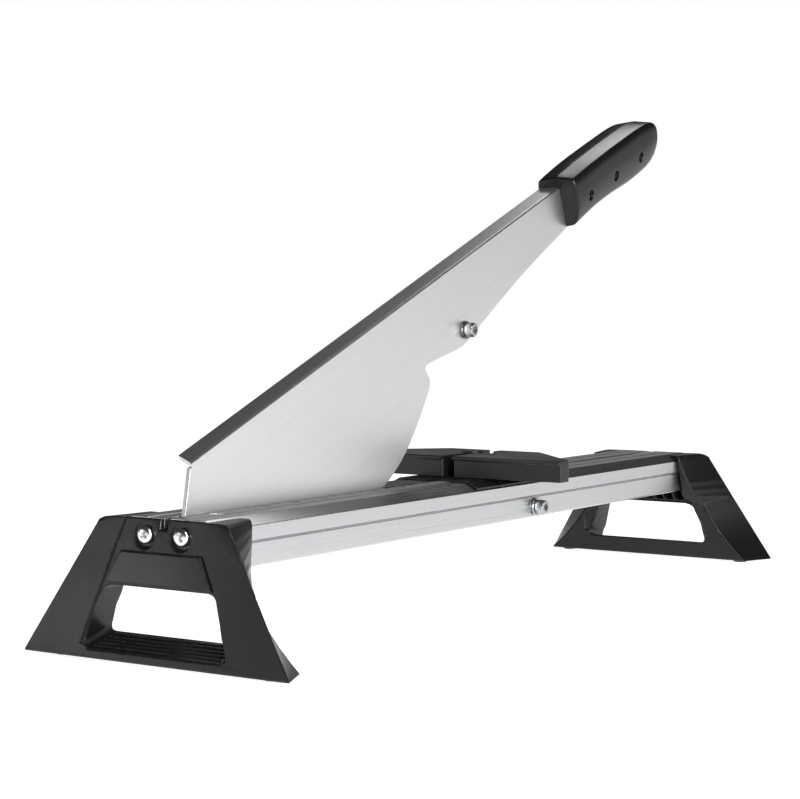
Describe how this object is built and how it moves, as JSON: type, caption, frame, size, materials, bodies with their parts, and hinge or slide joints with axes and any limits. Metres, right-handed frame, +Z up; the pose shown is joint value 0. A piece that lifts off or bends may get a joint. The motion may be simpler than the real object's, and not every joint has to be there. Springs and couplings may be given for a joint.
{
  "type": "tile cutter",
  "caption": "Guillotine-style cutter for flooring tiles and planks: a long hinged blade comes down through a slotted aluminium bed with a sliding angle fence.",
  "frame": {"origin": "on the ground, at the middle of the whole cutter's length and width", "axes": "+X along the bed from the pivot foot to the far foot, +Y to the rear, +Z up"},
  "size_m": [0.65, 0.2, 0.3539],
  "materials": {
    "aluminium": "brushed along its length, satin",
    "blade_steel": "satin stainless sheet, lengthwise brushing",
    "bolt_steel": "plated socket screw steel",
    "bush_bronze": "plain bearing bronze",
    "dark_steel": "dark plated",
    "fence_plastic": "fine-grained black moulding",
    "fence_sheet": "satin black painted sheet",
    "foot_plastic": "fine-grained matte black moulding",
    "grip_plastic": "satin to gloss black moulding",
    "nylon": "plain white nylon",
    "pad_rubber": "matte",
    "printed_film": "printed scale strip, satin",
    "zinc_screws": "bright zinc plated"
  },
  "bodies": {
    "base": {"foot_left": "foot_plastic", "foot_right": "foot_plastic", "foot_screw_left_front": "zinc_screws", "foot_screw_left_rear": "zinc_screws", "foot_screw_right_front": "zinc_screws", "foot_screw_right_rear": "zinc_screws", "name_plate_left": "foot_plastic", "name_plate_right": "foot_plastic", "pad_left_front": "pad_rubber", "pad_left_rear": "pad_rubber", "pad_right_front": "pad_rubber", "pad_right_rear": "pad_rubber", "pivot_bolt": "bolt_steel", "pivot_nut": "bolt_steel", "rail_front": "aluminium", "rail_rear": "aluminium", "scale_strip": "printed_film", "thrust_washer_front": "nylon", "thrust_washer_rear": "nylon", "tie_bolt": "bolt_steel", "tie_nut": "bolt_steel", "tie_spacer": "dark_steel", "tie_washer_front": "bolt_steel", "tie_washer_rear": "bolt_steel"},
    "lever": {"blade": "blade_steel", "pivot_bush": "bush_bronze", "handle_front": "grip_plastic", "handle_rear": "grip_plastic", "handle_screw_1": "zinc_screws", "handle_screw_2": "zinc_screws", "handle_screw_3": "zinc_screws", "handle_nut_1": "zinc_screws", "handle_nut_2": "zinc_screws", "handle_nut_3": "zinc_screws", "stop_bolt": "bolt_steel", "stop_washer": "dark_steel", "stop_nut": "bolt_steel"},
    "fence": {"fence_base": "fence_sheet", "fence_arm_front": "fence_plastic", "fence_arm_rear": "fence_plastic"}
  },
  "joints": [
    {"name": "lever_pivot", "type": "hinge", "parent": "base", "child": "lever", "pos_m": [-0.285, 0, 0.071], "axis": [0, -1, 0], "range_deg": [-17.8, 50]},
    {"name": "fence_slide", "type": "slide", "parent": "base", "child": "fence", "axis": [1, 0, 0], "range_m": [0, 0.15]}
  ]
}
